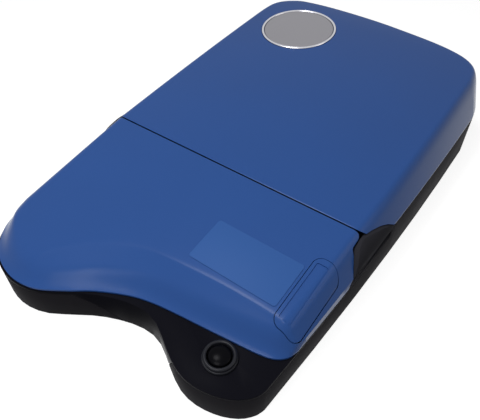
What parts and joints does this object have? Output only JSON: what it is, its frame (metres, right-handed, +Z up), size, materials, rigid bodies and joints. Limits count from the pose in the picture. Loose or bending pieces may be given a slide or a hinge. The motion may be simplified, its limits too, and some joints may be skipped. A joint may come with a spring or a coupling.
{
  "type": "film negative scanner",
  "caption": "Desktop film negative scanner with blue top covers, a hinged front lid with a rocker key, a black base with a wavy front and a round power button.",
  "frame": {"origin": "centre of the underside of the four feet, under the middle of the plan outline", "axes": "+X to the right of a person who faces the front, +Y to the back, +Z up"},
  "size_m": [0.168, 0.28, 0.0532],
  "materials": {
    "blue_plastic": "satin",
    "black_gloss": "polished",
    "black_matt": "fine texture",
    "grey_plastic": "satin",
    "black_cap": "polished",
    "sticker": "printed film",
    "silver": "satin",
    "steel": "zinc plated",
    "brass": "turned",
    "rubber": "matt",
    "board": "solder mask",
    "component": "moulded",
    "glass": "clear",
    "mirror": "silvered",
    "diffuser": "opal"
  },
  "bodies": {
    "casing": {"base_tray": "black_matt", "mid_chassis": "black_gloss", "rear_cover": "blue_plastic", "foot_front_left": "rubber", "foot_front_right": "rubber", "foot_rear_left": "rubber", "foot_rear_right": "rubber", "base_screw_1": "steel", "base_screw_2": "steel", "base_screw_3": "steel", "base_screw_4": "steel", "hinge_pin_left": "steel", "hinge_pin_right": "steel", "latch_magnet": "steel", "badge_rim": "silver", "badge_disc": "silver", "power_ring": "grey_plastic", "button_board": "board", "button_switch": "component", "button_spring": "steel", "film_guide": "black_matt", "guide_rod_left": "steel", "guide_rod_right": "steel", "rod_bracket_left": "steel", "rod_bracket_right": "steel", "rear_bracket": "steel", "stepper_motor": "steel", "motor_screw_1": "steel", "motor_screw_2": "steel", "main_board": "board", "usb_socket": "steel", "power_socket": "component"},
    "front_lid": {"front_cover": "blue_plastic", "notice_label": "sticker", "catch_plate": "steel", "key_board": "board", "key_switch": "component"},
    "key": {"scan_key": "blue_plastic"},
    "button": {"power_button": "black_cap"},
    "carriage": {"scan_carriage": "grey_plastic", "light_panel": "silver", "light_diffuser": "diffuser", "fold_mirror": "mirror", "lens_barrel": "component", "lens_glass": "glass", "ccd_board": "board", "ccd_sensor": "component", "lead_nut": "brass"},
    "screw": {"lead_screw": "steel"},
    "flap_left": {"slot_flap_left": "black_gloss"},
    "flap_right": {"slot_flap_right": "black_gloss"}
  },
  "joints": [
    {"name": "lid_hinge", "type": "hinge", "parent": "casing", "child": "front_lid", "pos_m": [0, -0.0425, 0.0335], "axis": [-1, 0, 0], "range_deg": [0, 60]},
    {"name": "key_press", "type": "slide", "parent": "front_lid", "child": "key", "axis": [0, 0, -1], "range_m": [0, 0.0012], "stiffness_N_per_m": 600, "springref_m": -0.0005},
    {"name": "button_press", "type": "slide", "parent": "casing", "child": "button", "axis": [0, 0, -1], "range_m": [0, 0.0012], "stiffness_N_per_m": 500, "springref_m": -0.0006, "deforming": ["button_spring"]},
    {"name": "carriage_travel", "type": "slide", "parent": "casing", "child": "carriage", "axis": [0, 1, 0], "range_m": [-0.013, 0.013]},
    {"name": "screw_turn", "type": "hinge", "parent": "casing", "child": "screw", "pos_m": [0.046, 0.04, 0.022], "axis": [0, 1, 0], "range_deg": [-1171, 1171]},
    {"name": "flap_left_swing", "type": "hinge", "parent": "casing", "child": "flap_left", "pos_m": [-0.0813, -0.0319, 0.02305], "axis": [0, -1, 0], "range_deg": [0, 75], "stiffness_Nm_per_rad": 0.0002, "springref_deg": -17.19},
    {"name": "flap_right_swing", "type": "hinge", "parent": "casing", "child": "flap_right", "pos_m": [0.0813, -0.0319, 0.02305], "axis": [0, 1, 0], "range_deg": [0, 75], "stiffness_Nm_per_rad": 0.0002, "springref_deg": -17.19}
  ],
  "couplings": [
    {"joint": "screw_turn", "follows": "carriage_travel", "rad_per_m": 1570.8}
  ]
}
